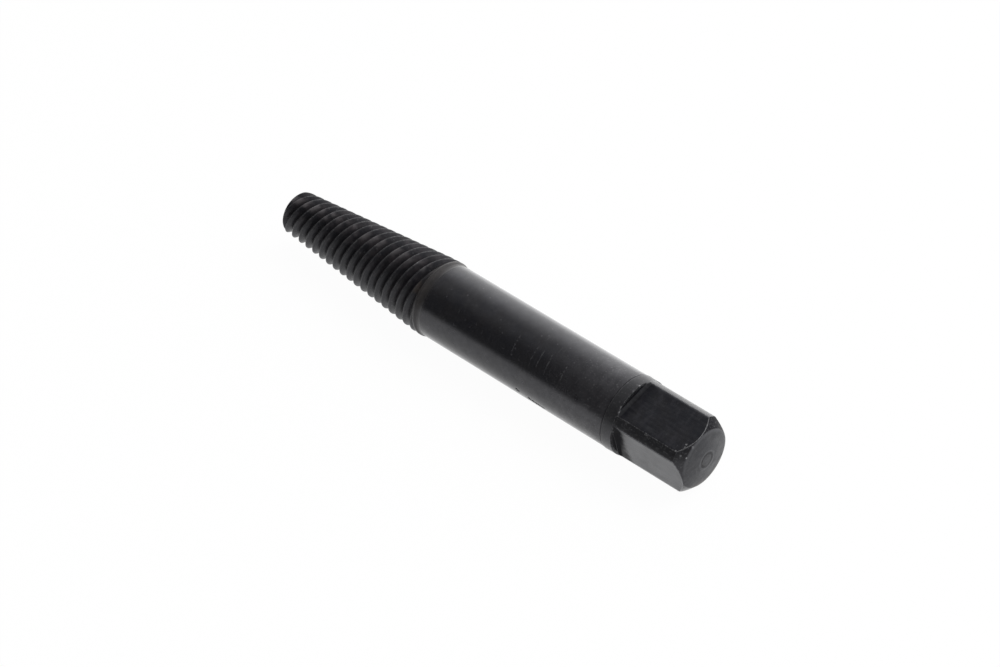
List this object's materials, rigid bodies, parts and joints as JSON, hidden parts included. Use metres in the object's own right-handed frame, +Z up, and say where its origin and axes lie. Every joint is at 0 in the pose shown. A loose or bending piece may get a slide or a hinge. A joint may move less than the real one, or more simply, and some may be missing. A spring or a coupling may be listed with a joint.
{
  "type": "screw extractor",
  "caption": "Tapered left-hand spiral fluted screw extractor with a smooth band, round shank and chamfered square drive end, black oxide steel, lying on its side.",
  "frame": {"origin": "centre of the bounding box's bottom, under the middle of the tool's length on the surface it lies on", "axes": "+X along the tool's axis from the spiral's tip to the square drive, +Z up, with the square rolled 15.2 degrees about the axis as in the picture"},
  "size_m": [0.0864, 0.013, 0.0129],
  "materials": {
    "black_oxide_steel": "black oxide over ground and turned steel, semi-gloss"
  },
  "bodies": {
    "root": {"screw_extractor": "black_oxide_steel"}
  },
  "joints": []
}
